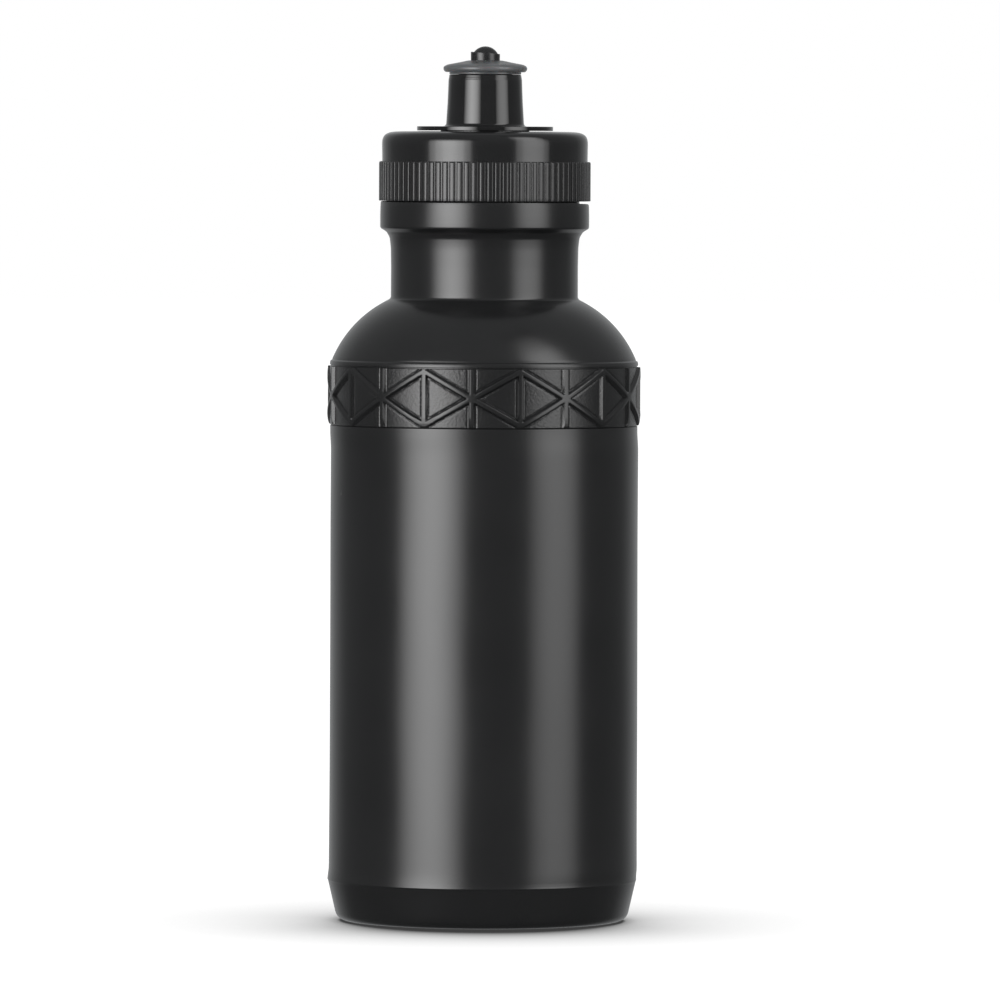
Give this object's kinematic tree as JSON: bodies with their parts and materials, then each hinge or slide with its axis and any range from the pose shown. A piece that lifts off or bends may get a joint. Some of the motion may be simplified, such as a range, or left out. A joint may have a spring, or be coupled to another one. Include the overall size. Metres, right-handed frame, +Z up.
{
  "type": "sports squeeze bottle",
  "caption": "Squeeze bottle with a raised truss-pattern grip band, knurled screw cap and push-pull drinking valve",
  "frame": {"origin": "middle of the foot ring, on the surface the bottle stands on", "axes": "+Z up along the bottle's axis; +X to the right and -Y towards the viewer in the front view"},
  "size_m": [0.0706, 0.0706, 0.1966],
  "materials": {
    "body_plastic": "satin black blow-moulded polyethylene",
    "cap_plastic": "semi-gloss black injection-moulded",
    "tower_plastic": "glossy black injection-moulded",
    "spout_plastic": "matte grey soft plastic",
    "seal_rubber": "matte off-white soft seal"
  },
  "bodies": {
    "bottle": {"bottle_body": "body_plastic"},
    "seal": {"cap_gasket": "seal_rubber"},
    "cap": {"screw_cap": "cap_plastic", "spout_tower": "tower_plastic", "seal_pin": "tower_plastic"},
    "spout": {"pull_spout": "spout_plastic"}
  },
  "joints": [
    {"name": "cap_lift", "type": "slide", "parent": "bottle", "child": "seal", "axis": [0, 0, 1], "range_m": [0, 0.0201]},
    {"name": "cap_twist", "type": "hinge", "parent": "seal", "child": "cap", "pos_m": [0, 0, 0.1619], "axis": [0, 0, 1], "range_deg": [0, 1800]},
    {"name": "spout_slide", "type": "slide", "parent": "cap", "child": "spout", "axis": [0, 0, 1], "range_m": [0, 0.007]}
  ],
  "couplings": [
    {"joint": "cap_lift", "follows": "cap_twist", "m_per_rad": 0.00063662}
  ]
}
